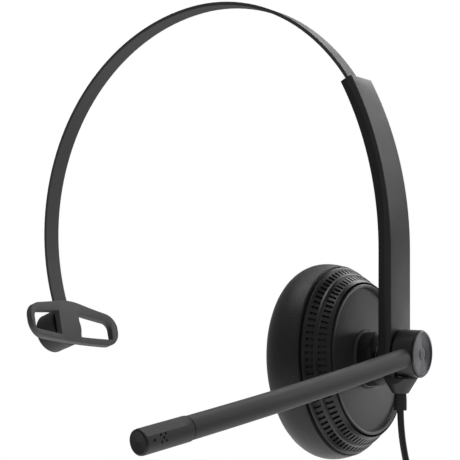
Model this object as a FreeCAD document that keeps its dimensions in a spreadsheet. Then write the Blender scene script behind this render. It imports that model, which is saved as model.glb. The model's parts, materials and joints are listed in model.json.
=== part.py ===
"""Mono office headset: thin head band, temple bar, slider arm, ear cup, turning boom and a lead.

Millimetres, +Z up.  X runs from the temple bar to the ear cup, and the boom points along -Y.
The origin is midway between the ears, in the plane of the head band, at the height of the
ear cup's centre.
"""
import FreeCAD
import Part
import Sketcher
import math
import os
from FreeCAD import Placement, Rotation, Vector

DIMENSIONS = [
    # head band
    ("band_width", 7.15), ("band_thick", 1.2), ("spring_width", 5.2), ("spring_thick", 0.5),
    ("crown_height", 128), ("crown_radius", 69),
    ("crown_angle", 36.38), ("side_radius", 75.4), ("slide_angle", 32.6), ("slide_radius", 95),
    ("slide_end_angle", 7.3),
    ("left_crown_angle", 95.73), ("shoulder_radius", 81.7), ("shoulder_angle", 155.66),
    ("temple_radius", 84.3), ("temple_angle", 201),
    # temple bar and its pivot
    ("bar_lean", 21), ("bar_turn", 9), ("bar_drop", 8.82), ("bar_offset", 2.4),
    ("frame_thick", 2.6), ("frame_curve", 150), ("pivot_radius", 8.1), ("pivot_pin", 2.5),
    # slider arm
    ("arm_width", 15.6), ("arm_inner", 73.1), ("arm_outer", 77.5), ("arm_bend", 120.7),
    ("arm_bend_height", 36.5), ("arm_top_angle", 28.2), ("channel_gap", 0.15),
    # boom hub
    ("hub_height", 2.5), ("hub_radius", 8.2), ("collar_radius", 7.8), ("collar_start", 77.8),
    ("collar_end", 84.9), ("post_radius", 3), ("cap_radius", 7.5), ("cap_face", 85.6),
    # boom and microphone
    ("boom_radius", 3.2), ("boom_bore", 2.2), ("mic_radius", 3.4), ("mic_length", 17),
    # ear cup
    ("cup_centre", 65.9), ("cup_tilt", 5), ("plate_radius", 25.2), ("rim_radius", 26.1),
    ("vent_radius", 31.6), ("vent_depth", 7.6), ("cushion_radius", 33.4), ("ear_radius", 16),
    ("knuckle_radius", 9), ("ball_x", 67.6), ("ball_radius", 4.5),
    # lead and plug
    ("cord_diameter", 2.2), ("relief_radius", 2.1), ("gland_x", 77.4), ("gland_z", -10.7),
    ("relief_end", -16.3), ("coil_radius", 13), ("coil_thick", 4.6),
    ("jack_radius", 1.75), ("jack_length", 11), ("grip_radius", 3.6), ("grip_length", 16),
]

doc = FreeCAD.newDocument("headset")
sheet = doc.addObject("Spreadsheet::Sheet", "Sizes")
for row, (alias, value) in enumerate(DIMENSIONS, start=1):
    sheet.set(f"A{row}", alias)
    sheet.set(f"B{row}", str(value))
    sheet.setAlias(f"B{row}", alias)
doc.recompute()


class Size:
    """A number together with the sheet expression that gives it."""

    def __init__(self, text, number):
        self.text = text
        self.number = number

    def join(self, sign, other, number):
        text = other.text if isinstance(other, Size) else f"{other}"
        return Size(f"({self.text} {sign} {text})", number)

    def __add__(self, other):
        return self.join("+", other, self.number + plain(other))

    def __radd__(self, other):
        return self + other

    def __sub__(self, other):
        return self.join("-", other, self.number - plain(other))

    def __rsub__(self, other):
        return -self + other

    def __mul__(self, other):
        return self.join("*", other, self.number * plain(other))

    def __truediv__(self, other):
        return self.join("/", other, self.number / plain(other))

    def __neg__(self):
        return Size(f"(0 - {self.text})", -self.number)


def plain(value):
    return value.number if isinstance(value, Size) else value


def size(alias):
    return Size(f"Sizes.{alias}", float(sheet.get(alias)))


def number(alias):
    return float(sheet.get(alias))


def bind(item, **values):
    """Set properties, and bind to the sheet those that come from it."""
    for name, value in values.items():
        setattr(item, name, plain(value))
        if isinstance(value, Size):
            item.setExpression(name, value.text)
    return item


def polar(centre, radius, degrees):
    """The point at an angle from +X about a centre, both in the XZ plane."""
    angle = math.radians(degrees)
    return centre[0] + radius * math.cos(angle), centre[1] + radius * math.sin(angle)


# ---------------------------------------------------------------- ways of making a solid

def new_sketch(body, plane_role):
    sketch = body.newObject("Sketcher::SketchObject", f"{body.Name}_profile")
    plane = [item for item in body.Origin.OriginFeatures if item.Role == plane_role][0]
    sketch.AttachmentSupport = [(plane, "")]
    sketch.MapMode = "FlatFace"
    return sketch


def edge_between(start, end, radius):
    """A line, or the arc of a signed radius: positive bulges to the right of the way it runs."""
    first = Vector(start[0], start[1], 0)
    last = Vector(end[0], end[1], 0)
    if not radius:
        return Part.LineSegment(first, last), False
    chord = last - first
    half = chord.Length / 2
    side = Vector(-chord.y, chord.x, 0).normalize() * math.copysign(1, radius)
    centre = (first + last) * 0.5 + side * math.sqrt(radius * radius - half * half)
    angles = [math.atan2(point.y - centre.y, point.x - centre.x) for point in (first, last)]
    circle = Part.Circle(centre, Vector(0, 0, 1), abs(radius))
    backwards = radius < 0
    if backwards:
        angles.reverse()
    return Part.ArcOfCircle(circle, angles[0], angles[1]), backwards


def outline(sketch, corners):
    """A closed outline through corners (across, up) or (across, up, radius of the arc leaving)."""
    starts = []
    ends = []
    for index, corner in enumerate(corners):
        after = corners[(index + 1) % len(corners)]
        radius = plain(corner[2]) if len(corner) > 2 else 0
        curve, backwards = edge_between([plain(v) for v in corner[:2]],
                                        [plain(v) for v in after[:2]], radius)
        edge = sketch.addGeometry(curve, False)
        starts.append((edge, 2 if backwards else 1))
        ends.append((edge, 1 if backwards else 2))
        if radius:
            sketch.addConstraint(Sketcher.Constraint("Radius", edge, abs(radius)))
    for index, corner in enumerate(corners):
        edge, point = starts[index]
        sketch.addConstraint(Sketcher.Constraint("Coincident", *ends[index - 1], edge, point))
        for kind, axis, value in (("DistanceX", -2, corner[0]), ("DistanceY", -1, corner[1])):
            if plain(value) == 0:
                sketch.addConstraint(Sketcher.Constraint("PointOnObject", edge, point, axis))
                continue
            place = Sketcher.Constraint(kind, -1, 1, edge, point, plain(value))
            held = sketch.addConstraint(place)
            if isinstance(value, Size):
                sketch.renameConstraint(held, f"{kind}_{index}")
                sketch.setExpression(f"Constraints.{kind}_{index}", value.text)


def new_body(name):
    body = doc.addObject("PartDesign::Body", name)
    body.Label = name
    return body


def padded(name, corners, width, plane_role="XZ_Plane", placement=None):
    """An outline padded to both sides of its plane."""
    body = new_body(name)
    sketch = new_sketch(body, plane_role)
    outline(sketch, corners)
    pad = body.newObject("PartDesign::Pad", f"{name}_pad")
    pad.Profile = sketch
    pad.SideType = "Symmetric"
    bind(pad, Length=width)
    body.Placement = placement or Placement()
    return body


def turned(name, corners, placement=None):
    """An outline in (along, radius) turned about the X axis."""
    body = new_body(name)
    sketch = new_sketch(body, "XY_Plane")
    outline(sketch, corners)
    turn = body.newObject("PartDesign::Revolution", f"{name}_turn")
    turn.Profile = sketch
    turn.ReferenceAxis = (sketch, ["H_Axis"])
    turn.Angle = 360
    body.Placement = placement or Placement()
    return body


def rod(name, radius, start, length, placement=None):
    """A cylinder along X, from a start, on the axis of a placement."""
    item = doc.addObject("Part::Cylinder", name)
    bind(item, Radius=radius, Height=length)
    lying = Placement(Vector(plain(start), 0, 0), Rotation(Vector(0, 1, 0), 90))
    item.Placement = (placement or Placement()).multiply(lying)
    return item


def block(name, low, high, placement=None):
    item = doc.addObject("Part::Box", name)
    bind(item, Length=high[0] - low[0], Width=high[1] - low[1], Height=high[2] - low[2])
    item.Placement = (placement or Placement()).multiply(Placement(Vector(*low), Rotation()))
    return item


def group(name, kind, items):
    item = doc.addObject(kind, name)
    item.Shapes = items
    return item


def fuse(name, items):
    return group(name, "Part::MultiFuse", items)


def common(name, items):
    return group(name, "Part::MultiCommon", items)


def cut(name, base, tools):
    item = doc.addObject("Part::Cut", name)
    item.Base = base
    item.Tool = tools[0] if len(tools) == 1 else fuse(f"{name}_tools", tools)
    return item


def shaped(name, shape):
    """A piece whose shape comes from Part's own functions."""
    item = doc.addObject("Part::Feature", name)
    item.Shape = shape
    return item


NODES = []


def node(item, name):
    item.Label = name
    NODES.append(item)
    return item


# ---------------------------------------------------------------- the band's line

crown = (0, number("crown_height") - number("crown_radius"))
right_crown = 90 - number("crown_angle")
right_join = polar(crown, number("crown_radius"), right_crown)
side = polar(right_join, -number("side_radius"), right_crown)
slide_join = polar(side, number("side_radius"), number("slide_angle"))
slide = polar(slide_join, -number("slide_radius"), number("slide_angle"))
left_join = polar(crown, number("crown_radius"), number("left_crown_angle"))
shoulder = polar(left_join, -number("shoulder_radius"), number("left_crown_angle"))
shoulder_join = polar(shoulder, number("shoulder_radius"), number("shoulder_angle"))
temple = polar(shoulder_join, -number("temple_radius"), number("shoulder_angle"))
temple_end = polar(temple, number("temple_radius"), number("temple_angle"))

# stretches of the band from the slider's end to the temple: centre, radius, from, to
STRETCHES = [
    (slide, number("slide_radius"), number("slide_end_angle"), number("slide_angle")),
    (side, number("side_radius"), number("slide_angle"), right_crown),
    (crown, number("crown_radius"), right_crown, number("left_crown_angle")),
    (shoulder, number("shoulder_radius"), number("left_crown_angle"), number("shoulder_angle")),
    (temple, number("temple_radius"), number("shoulder_angle"), number("temple_angle")),
]
lean = math.radians(number("bar_lean"))
down = (math.sin(lean), -math.cos(lean))
inward = (math.cos(lean), math.sin(lean))


def band_corners(thick, tail):
    """Both faces of the band: out along its outer face, round the tail, back along its inner."""
    outer = []
    inner = []
    for centre, radius, first, last in STRETCHES:
        outer.append((*polar(centre, radius + thick / 2, first), radius + thick / 2))
        inner.append((*polar(centre, radius - thick / 2, last), -(radius - thick / 2)))
    inner.reverse()
    corners = outer
    end = polar(temple, number("temple_radius") + thick / 2, number("temple_angle"))
    corners.append(end)
    tip = (temple_end[0] + down[0] * tail, temple_end[1] + down[1] * tail)
    corners.append((tip[0] - inward[0] * thick / 2, tip[1] - inward[1] * thick / 2))
    corners.append((tip[0] + inward[0] * thick / 2, tip[1] + inward[1] * thick / 2))
    corners += inner
    corners.append(polar(slide, number("slide_radius") - thick / 2, number("slide_end_angle")))
    return corners


def arc_strip(name, centre, low_radius, high_radius, first, last, width):
    """A strip between two radii about a centre in the XZ plane, padded along Y."""
    corners = [
        (*polar(centre, high_radius, first), high_radius),
        polar(centre, high_radius, last),
        (*polar(centre, low_radius, last), -low_radius),
        polar(centre, low_radius, first),
    ]
    return padded(name, corners, width)


# ---------------------------------------------------------------- head band

SKIN_TAIL = 1.5
SPRING_TAIL = 5.4
STOP_LENGTH = 2.4
BAND_GAP = 0.02

spring = padded("band_spring", band_corners(number("spring_thick"), SPRING_TAIL),
                size("spring_width"))
node(spring, "band_spring")
skin = padded("band_skin", band_corners(number("band_thick"), SKIN_TAIL), size("band_width"))
skin_core = padded("band_core", band_corners(number("spring_thick") + 2 * BAND_GAP, SPRING_TAIL),
                   size("spring_width") + 2 * BAND_GAP)
node(cut("band_sleeve", skin, [skin_core]), "band_sleeve")

# a clip across the hidden end, wider than the arm's throat, keeps the band from pulling out
stop_first = number("slide_end_angle") - STOP_LENGTH
stop = arc_strip("band_stop_clip", slide, number("slide_radius") - number("band_thick") / 2,
                 number("slide_radius") + number("band_thick") / 2, stop_first,
                 number("slide_end_angle"), size("band_width") + 2)
node(stop, "band_stop")

# ---------------------------------------------------------------- temple bar and pivot
# local frame: +X towards the head, Z up along the band, origin at the middle of the web

pivot_point = (temple_end[0] + down[0] * number("bar_drop") + inward[0] * number("bar_offset"),
               temple_end[1] + down[1] * number("bar_drop") + inward[1] * number("bar_offset"))
bar_place = Placement(Vector(pivot_point[0], 0, pivot_point[1]),
                      Rotation(Vector(0, 1, 0), -number("bar_lean")))
turned_place = bar_place.multiply(Placement(Vector(), Rotation(Vector(1, 0, 0),
                                                               -number("bar_turn"))))

FLOOR = -1.6
CAVITY = -4.4
HOUSING_BACK = -6.6
CAP_BACK = -13.6
CAVITY_RADIUS = 6.6
PIN_END = -4.6
RUNNING = 0.06

housing_blank = turned("pivot_blank", [
    (FLOOR, size("pivot_pin") + RUNNING), (FLOOR, size("pivot_radius") - 0.3),
    (FLOOR - 0.3, size("pivot_radius")), (HOUSING_BACK, size("pivot_radius")),
    (HOUSING_BACK, CAVITY_RADIUS), (CAVITY, CAVITY_RADIUS), (CAVITY, size("pivot_pin") + RUNNING),
], bar_place)
node(cut("pivot_housing", housing_blank, [
    block("spring_slot", (-number("bar_offset") - 0.27, -2.62, number("bar_drop") - SPRING_TAIL),
          (-number("bar_offset") + 0.27, 2.62, 10), bar_place),
    block("skin_seat", (-number("bar_offset") - 0.62, -3.6, number("bar_drop") - SKIN_TAIL - 0.02),
          (-number("bar_offset") + 0.62, 3.6, 10), bar_place),
]), "pivot_housing")
node(turned("pivot_dome", [
    (HOUSING_BACK, 0), (CAP_BACK, 0), (CAP_BACK, 1, -17), (CAP_BACK + 1.3, 6.8, -1.8),
    (CAP_BACK + 2.2, 8), (HOUSING_BACK, size("pivot_radius") - 0.1),
], bar_place), "pivot_cap")

half = number("frame_thick") / 2
SHOULDER = (19.2, 6.1)
CREST = (6, 9.0)
CREST_ARC = 28.6
SHOULDER_ARC = 6.7
END_Y = 24.3
END_TOP = 0.6
END_LOW = -1.6
FOOT = (18.0, -7.9)
FOOT_ARC = 6.6


def frame_window(name, direction, web, reach):
    """One of the two openings beside the web, from the web's edge out to its reach."""
    spots = [(web, -5.4), (reach - 0.8, -5.2, 0.8), (reach, -4.4), (reach, -0.6, 3.2),
             (reach - 2.6, 2.6), (web, 4.7)]
    corners = [(across * direction, height, *[arc * direction for arc in arcs])
               for across, height, *arcs in spots]
    return padded(name, corners, 20, "YZ_Plane", turned_place)


frame_blank = padded("frame_blank", [
    SHOULDER, (*CREST, CREST_ARC), (-CREST[0], CREST[1]), (-SHOULDER[0], SHOULDER[1], SHOULDER_ARC),
    (-END_Y, END_TOP), (-END_Y, END_LOW, FOOT_ARC),
    (-FOOT[0], FOOT[1]), (*FOOT, FOOT_ARC),
    (END_Y, END_LOW), (END_Y, END_TOP, SHOULDER_ARC),
], 20, "YZ_Plane", turned_place)
bend_place = turned_place.multiply(Placement(Vector(number("frame_curve"), 0, -15), Rotation()))
bend_outer = doc.addObject("Part::Cylinder", "bend_outer")
bind(bend_outer, Radius=size("frame_curve") + size("frame_thick") / 2, Height=30)
bend_outer.Placement = bend_place
bend_inner = doc.addObject("Part::Cylinder", "bend_inner")
bind(bend_inner, Radius=size("frame_curve") - size("frame_thick") / 2, Height=30)
bend_inner.Placement = bend_place
bend_shell = cut("bend_shell", bend_outer, [bend_inner])
frame_plate = cut("frame_plate", common("frame_curved", [frame_blank, bend_shell]),
                  [frame_window("window_front", -1, 6.9, 22.3),
                   frame_window("window_back", 1, 4.1, 21.1)])
frame_pin = cut("frame_pin", rod("frame_pin_blank", size("pivot_pin"), PIN_END, -PIN_END - 0.2,
                                 turned_place),
                [rod("pin_thread", 1.05, PIN_END - 1, 3, turned_place)])
node(fuse("tbar_frame", [frame_plate, frame_pin]), "tbar_frame")
node(turned("pivot_washer", [
    (PIN_END, 1.1), (PIN_END, 4.4), (PIN_END - 0.4, 4.4), (PIN_END - 0.4, 1.1),
], turned_place), "pivot_washer")
node(turned("pivot_screw", [
    (PIN_END - 0.4, 0), (PIN_END - 1.3, 0), (PIN_END - 1.3, 1.9), (PIN_END - 0.4, 2.3),
    (PIN_END - 0.4, 1), (PIN_END + 1.8, 1), (PIN_END + 1.8, 0),
], turned_place), "pivot_screw")

# ---------------------------------------------------------------- slider arm

arm_centre = (number("arm_inner") - number("arm_bend"), number("arm_bend_height"))
arm_depth = number("arm_outer") - number("arm_inner")
arm_top_inner = polar(arm_centre, number("arm_bend"), number("arm_top_angle"))
arm_top_outer = polar(arm_centre, number("arm_bend") + arm_depth, number("arm_top_angle"))
ARM_FOOT = -1.0
ARM_CORNER = 1.0
SPLIT = number("slide_radius") + number("band_thick") / 2 + number("channel_gap")
split_x = slide[0] + SPLIT
hub_place = Placement(Vector(0, 0, number("hub_height")), Rotation())

arm_bar = padded("arm_bar", [
    (size("arm_inner"), ARM_FOOT), (size("arm_outer"), ARM_FOOT),
    (size("arm_outer"), size("arm_bend_height"), number("arm_bend") + arm_depth),
    arm_top_outer, (*arm_top_inner, -number("arm_bend")),
    (size("arm_inner"), size("arm_bend_height")),
], size("arm_width"))
doc.recompute()


def long_edges(shape, corner):
    """Names of the edges that run along the arm's sides at a distance from its bend's centre."""
    names = []
    for index, edge in enumerate(shape.Edges, start=1):
        middle = edge.valueAt((edge.FirstParameter + edge.LastParameter) / 2)
        reach = math.hypot(middle.x - arm_centre[0], middle.z - arm_centre[1])
        straight = middle.z < arm_centre[1]
        reach = middle.x - arm_centre[0] if straight else reach
        beside = abs(abs(middle.y) - number("arm_width") / 2) < 0.01
        if beside and abs(reach - corner) < 0.1 and middle.z > ARM_FOOT + 0.1:
            names.append(f"Edge{index}")
    return names


arm_pad = arm_bar.Tip
outer_edges = long_edges(arm_bar.Shape, number("arm_bend") + arm_depth)
outer_round = arm_bar.newObject("PartDesign::Fillet", "arm_outer_round")
outer_round.Base = (arm_pad, outer_edges)
outer_round.Radius = ARM_CORNER
doc.recompute()
inner_edges = long_edges(arm_bar.Shape, number("arm_bend"))
inner_round = arm_bar.newObject("PartDesign::Fillet", "arm_inner_round")
inner_round.Base = (outer_round, inner_edges)
inner_round.Radius = ARM_CORNER / 2
doc.recompute()

CHIN_TOP = -3
CHIN_WIDE = 7.4
chin = doc.addObject("Part::Cone", "chin_cone")
bind(chin, Radius1=2.7, Radius2=CHIN_WIDE, Height=-size("gland_z") + CHIN_TOP)
chin.Placement = Placement(Vector(number("gland_x"), 0, number("gland_z")), Rotation())
chin_trim = common("chin_trim", [chin, block("chin_room", (number("arm_inner"), -4.7, -20),
                                             (83.4, 4.7, 10))])
collar_room = rod("collar_room", size("collar_radius") + 0.3, size("collar_start") - 0.3, 20,
                  hub_place)
boom_room = block("boom_room", (number("collar_start") - 0.3, -10, -5.5), (90, 10, 20))
chin_piece = cut("chin", chin_trim, [collar_room, boom_room])
hub_disc = rod("hub_disc", size("hub_radius"), size("arm_inner"),
               size("arm_outer") - size("arm_inner"), hub_place)
arm_solid = fuse("arm_solid", [arm_bar, hub_disc, chin_piece])

RELIEF_TOP = -7.0
relief_bore = doc.addObject("Part::Cylinder", "relief_bore")
bind(relief_bore, Radius=size("relief_radius") - 0.3, Height=20)
relief_bore.Placement = Placement(Vector(number("gland_x"), 0, RELIEF_TOP - 20), Rotation())
arm_housing = cut("arm_housing", arm_solid, [relief_bore])

inner_half = padded("inner_half", [
    (60, 10), (split_x, 10), (split_x, slide[1], SPLIT),
    polar(slide, SPLIT, 50), (0, 60), (60, 43),
], 40)
hub_split = block("hub_split", (60, -20, -5.2), (split_x, 20, 10.5))
cover_side = fuse("cover_side", [inner_half, hub_split])

CHANNEL_END = 3.6
WIDE_END = 25.2
channel_low = number("slide_radius") - number("band_thick") / 2 - number("channel_gap")
throat = arc_strip("throat", slide, channel_low, SPLIT + 0.01, CHANNEL_END, 45,
                   size("band_width") + 0.3)
stop_room = arc_strip("stop_room", slide, channel_low, SPLIT + 0.01, CHANNEL_END, WIDE_END,
                      size("band_width") + 2.3)
detent_room = arc_strip("detent_room", slide, channel_low, SPLIT + 0.01, 27, 31.4, 10.2)

BALL_HEIGHT = 0.15
ball_place = Placement(Vector(0, 0, BALL_HEIGHT), Rotation())
STUD_BACK = split_x - 0.05
STUD_FLANGE = 73.95
SCREW_HEIGHTS = (17.0, 33.0)


def at_height(height):
    return Placement(Vector(0, 0, height), Rotation())


cover_tools = [throat, stop_room, detent_room,
               rod("stud_pocket", 4.6, STUD_FLANGE - 0.02, 5, ball_place),
               rod("stud_hole", 2.7, 70, 10, ball_place)]
for index, height in enumerate(SCREW_HEIGHTS):
    cover_tools.append(rod(f"screw_hole_{index}", 0.95, 70, 10, at_height(height)))
    cover_tools.append(rod(f"screw_sink_{index}", 1.75, 70, 4.2, at_height(height)))
node(cut("arm_cover", common("cover_blank", [arm_housing, cover_side]), cover_tools), "arm_cover")

POST_FLANGE = 76.45
shell_tools = [rod("post_pocket", 5.3, 70, POST_FLANGE + 0.02 - 70, hub_place),
               rod("post_hole", 3.05, 70, 20, hub_place)]
for index, height in enumerate(SCREW_HEIGHTS):
    shell_tools.append(rod(f"screw_thread_{index}", 0.85, 70, 6.8, at_height(height)))
shell_blank = cut("shell_blank", arm_housing, [cover_side])
node(cut("arm_shell", shell_blank, shell_tools), "arm_shell")

screw_shapes = []
for height in SCREW_HEIGHTS:
    head = Part.makeCylinder(1.6, 0.9, Vector(73.25, 0, height), Vector(1, 0, 0))
    shank = Part.makeCylinder(0.8, 2.5, Vector(74.15, 0, height), Vector(1, 0, 0))
    socket = Part.makeCylinder(0.6, 0.5, Vector(73.25, 0, height), Vector(1, 0, 0))
    screw_shapes.append(head.fuse(shank).cut(socket))
node(shaped("arm_screws", Part.makeCompound(screw_shapes)), "arm_screws")

# leaf springs that press on the band's edges in the throat and give the slider its clicks
leaves = []
for side_sign in (-1, 1):
    leaf = arc_strip(f"leaf_{'back' if side_sign > 0 else 'front'}", slide,
                     number("slide_radius") - 0.6, number("slide_radius") + 0.6, 27.4, 31, 0.5)
    leaf.Placement = Placement(Vector(0, side_sign * 4.45, 0), Rotation())
    leaves.append(leaf)
detents = doc.addObject("Part::Compound", "leaf_pair")
detents.Links = leaves
node(detents, "detent_springs")

node(turned("hub_post", [
    (size("cap_face") - 2.8, 0.95), (size("cap_face") - 2.8, size("post_radius")),
    (POST_FLANGE, size("post_radius")), (POST_FLANGE, 5.2), (split_x + 0.02, 5.2),
    (split_x + 0.02, 1.4), (size("cap_face") - 5.5, 1.4), (size("cap_face") - 5.5, 0.95),
], hub_place), "hub_post")

POST_END = number("cap_face") - 2.8
node(turned("hub_washer", [
    (POST_END, 1.0), (POST_END, 4.6), (POST_END + 0.4, 4.6), (POST_END + 0.4, 1.0),
], hub_place), "hub_washer")
node(turned("hub_screw", [
    (POST_END + 0.4, 0.9), (POST_END + 0.4, 2.1), (POST_END + 1.0, 1.8), (POST_END + 1.0, 0),
    (POST_END - 2.0, 0), (POST_END - 2.0, 0.9),
], hub_place), "hub_screw")

node(turned("ball_stud", [
    (STUD_BACK, 0), (STUD_BACK, 4.5), (STUD_FLANGE, 4.5), (STUD_FLANGE, 2.6),
    (size("ball_x") + math.sqrt(number("ball_radius") ** 2 - 2.6 ** 2), 2.6, size("ball_radius")),
    (size("ball_x") - size("ball_radius"), 0),
], ball_place), "ball_stud")

# ---------------------------------------------------------------- boom

cap_seat = number("cap_face") - 1.2
node(turned("boom_collar", [
    (size("collar_start"), size("post_radius") + RUNNING),
    (size("collar_start"), size("collar_radius") - 0.5),
    (size("collar_start") + 0.5, size("collar_radius")),
    (size("collar_end"), size("collar_radius")), (size("collar_end"), 7.0),
    (cap_seat, 7.0), (cap_seat, 5.2), (POST_END - 0.3, 5.2),
    (POST_END - 0.3, size("post_radius") + RUNNING),
], hub_place), "boom_collar")
node(turned("hub_cap", [
    (cap_seat, 0), (cap_seat, 6.9), (size("collar_end"), 6.9),
    (size("collar_end"), size("cap_radius") - 0.1), (size("cap_face") - 0.5, size("cap_radius")),
    (size("cap_face"), size("cap_radius") - 0.6), (size("cap_face") - 0.35, 0),
], hub_place), "hub_cap")

BOOM_ROOT = Vector(81.9, 0, 2.1)
BOOM_LENGTH = 130.6
BOOM_IN_TIP = 9.0
BOOM_DROP = -0.114
BOOM_FIRST = 4.5


def boom_point(along):
    """A point on the boom's centre line, which bends steadily inwards in plan."""
    turn = math.radians(BOOM_IN_TIP)
    radius = BOOM_LENGTH / turn
    angle = turn * along / BOOM_LENGTH
    return BOOM_ROOT + Vector(radius * (math.cos(angle) - 1), -radius * math.sin(angle),
                              BOOM_DROP * along)


def boom_stretch(radius, first, last):
    """A round rod along the boom's line."""
    middle = (first + last) / 2
    arc = Part.Arc(boom_point(first), boom_point(middle), boom_point(last))
    path = Part.Wire([arc.toShape()])
    edge = path.Edges[0]
    heading = edge.tangentAt(edge.FirstParameter)
    circle = Part.Wire([Part.Circle(boom_point(first), heading, radius).toShape()])
    return path.makePipeShell([circle], True, True)


doc.recompute()
tube_end = BOOM_LENGTH - number("mic_length")
bore_radius = number("boom_bore")
collar_keep = Part.makeCylinder(number("collar_radius") + 0.005, 30, Vector(70, 0, 2.5),
                                Vector(1, 0, 0))
tube = boom_stretch(number("boom_radius"), BOOM_FIRST, tube_end).cut(collar_keep)
tube = tube.cut(boom_stretch(bore_radius, BOOM_FIRST - 1, tube_end + 1))
node(shaped("boom_tube", tube), "boom_tube")
node(shaped("mic_lead", boom_stretch(0.8, 9, tube_end - 1)), "mic_lead")


def mic_piece(name, corners):
    """A turned piece on the boom's line beyond the tube."""
    at = boom_point(tube_end)
    ahead = (boom_point(BOOM_LENGTH) - at).normalize()
    return turned(name, corners, Placement(at, Rotation(Vector(1, 0, 0), ahead)))


mic_r = size("mic_radius")
mic_l = size("mic_length")
node(mic_piece("mic_housing", [
    (0.25, bore_radius), (0.25, mic_r - 0.35), (0.6, mic_r), (mic_l - 0.5, mic_r),
    (mic_l - 0.5, mic_r - 0.9), (3.2, mic_r - 0.9), (3.2, bore_radius),
]), "mic_housing")
node(mic_piece("mic_grommet", [
    (6.6, 2.15), (6.6, mic_r - 0.95), (10.4, mic_r - 0.95), (10.4, 2.15),
]), "mic_grommet")
node(mic_piece("mic_capsule", [(7.4, 0), (7.4, 2.1), (10.2, 2.1), (10.2, 0)]), "mic_capsule")
node(mic_piece("mic_end_cap", [
    (mic_l - 0.3, 0), (mic_l - 2.4, 0), (mic_l - 2.4, mic_r - 0.95), (mic_l - 0.5, mic_r - 0.95),
    (mic_l - 0.5, mic_r - 0.1), (mic_l - 0.3, mic_r - 0.1), (mic_l, mic_r - 0.5),
]), "mic_end_cap")

# ---------------------------------------------------------------- ear cup
# local frame: +X outwards along the cup's axis, origin at the middle of the outer plate

cup_place = Placement(Vector(number("cup_centre"), 0, 0),
                      Rotation(Vector(0, 1, 0), -number("cup_tilt")))
plate_r = size("plate_radius")
rim_r = size("rim_radius")
vent_r = size("vent_radius")
vent_end = -size("vent_depth")
SOCKET_HOLE = 7.2
PLATE_BACK = -2.4
POST_CIRCLE = 21.5
SCREW_ANGLES = (90, 210, 330)
BAFFLE_BACK = -6.1


def cup_spots(circle, angles):
    return [(circle * math.cos(math.radians(angle)), circle * math.sin(math.radians(angle)))
            for angle in angles]


plate = turned("plate_blank", [
    (PLATE_BACK, SOCKET_HOLE), (PLATE_BACK, plate_r), (0.2, plate_r), (0.5, plate_r - 0.3),
    (0.3, plate_r - 1.0), (-0.8, plate_r - 1.4), (-0.8, SOCKET_HOLE),
], cup_place)
posts = []
post_bores = []
for index, (y, z) in enumerate(cup_spots(POST_CIRCLE, SCREW_ANGLES)):
    spot = cup_place.multiply(Placement(Vector(0, y, z), Rotation()))
    posts.append(rod(f"post_{index}", 2.2, BAFFLE_BACK, PLATE_BACK + 0.1 - BAFFLE_BACK, spot))
    post_bores.append(rod(f"post_bore_{index}", 1.05, -7, 4, spot))
node(cut("cup_plate", fuse("plate_posts", [plate] + posts), post_bores), "cup_plate")

node(turned("vent_ring", [
    (vent_end, vent_r), (-0.5, rim_r + 0.2), (0, rim_r), (0, plate_r + 0.05),
    (PLATE_BACK, plate_r + 0.05), (PLATE_BACK, plate_r - 1.0), (PLATE_BACK - 0.8, plate_r - 1.0),
    (PLATE_BACK - 0.8, plate_r + 0.6), (vent_end + 1.3, vent_r - 1.9), (vent_end, vent_r - 1.9),
], cup_place), "vent_ring")

baffle_r = vent_r - 3.0
baffle = turned("baffle_blank", [
    (BAFFLE_BACK, 14.3), (BAFFLE_BACK, baffle_r - 0.4), (BAFFLE_BACK - 1.0, baffle_r - 0.4),
    (BAFFLE_BACK - 1.0, 15.5), (-12.8, 15.5), (-12.8, 0), (-11.9, 0), (-11.9, 14.3),
], cup_place)
baffle_tools = []
for index, (y, z) in enumerate(cup_spots(POST_CIRCLE, SCREW_ANGLES)):
    spot = cup_place.multiply(Placement(Vector(0, y, z), Rotation()))
    baffle_tools.append(rod(f"baffle_hole_{index}", 1.1, -12, 6, spot))
for index, (y, z) in enumerate([(0, 0)] + cup_spots(5.5, range(0, 360, 60))
                               + cup_spots(10.5, range(15, 375, 30))):
    spot = cup_place.multiply(Placement(Vector(0, y, z), Rotation()))
    baffle_tools.append(rod(f"sound_hole_{index}", 1.1, -14, 3, spot))
node(cut("cup_baffle", baffle, baffle_tools), "cup_baffle")

screws = []
for y, z in cup_spots(POST_CIRCLE, SCREW_ANGLES):
    head = Part.makeCylinder(1.8, 0.45, Vector(BAFFLE_BACK - 1.45, y, z), Vector(1, 0, 0))
    shank = Part.makeCylinder(1.0, 4, Vector(BAFFLE_BACK - 1.05, y, z), Vector(1, 0, 0))
    screws.append(head.fuse(shank))
cup_screws = shaped("cup_screws", Part.makeCompound(screws))
cup_screws.Placement = cup_place
node(cup_screws, "cup_screws")

node(turned("speaker_frame", [
    (-6.4, 9.3), (-6.4, 11.5), (-8.6, 14.2), (-11.3, 14.2), (-11.3, 13.2), (-8.9, 13.0),
    (-7.4, 10.9), (-7.4, 9.3),
], cup_place), "speaker_frame")
node(turned("speaker_magnet", [(-6.0, 0), (-6.0, 9.2), (-9.6, 9.2), (-9.6, 0)], cup_place),
     "speaker_magnet")
node(turned("speaker_cone", [
    (-11.4, 14.1), (-11.8, 14.1), (-11.8, 11), (-10.9, 6), (-11.5, 0), (-11.2, 0), (-10.6, 6),
    (-11.4, 11),
], cup_place), "speaker_cone")
node(turned("speaker_cloth", [(-12.9, 0), (-12.9, 15.9), (-13.3, 15.9), (-13.3, 0)], cup_place),
     "speaker_cloth")

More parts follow.
